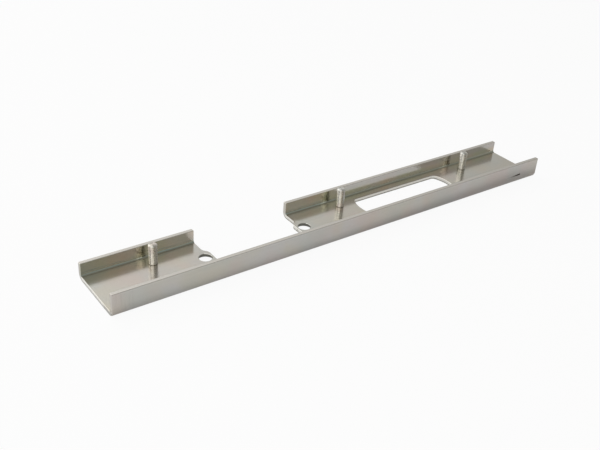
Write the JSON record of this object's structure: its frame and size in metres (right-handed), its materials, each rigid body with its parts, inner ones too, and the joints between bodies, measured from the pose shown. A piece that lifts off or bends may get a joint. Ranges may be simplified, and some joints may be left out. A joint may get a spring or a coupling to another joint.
{
  "type": "door strike plate",
  "caption": "Folded steel channel strike plate with a latch notch, a bolt opening, countersunk screw holes and riveted locating pins.",
  "frame": {"origin": "middle of the plate's length and width, on the web's outer face", "axes": "+X along the plate from the latch notch to the bolt opening, +Y across it from the tall flange to the low flange, +Z the way the flanges and pins point, which is into the door frame when fitted"},
  "size_m": [0.25, 0.033, 0.0117],
  "materials": {
    "plated_sheet": "zinc plated and passivated, fine lengthwise drawing lines, pale iridescent tints",
    "plated_pin": "turned, zinc plated and passivated"
  },
  "bodies": {
    "root": {"strike_channel": "plated_sheet", "locating_pin_left": "plated_pin", "locating_pin_middle": "plated_pin", "locating_pin_right": "plated_pin"}
  },
  "joints": []
}
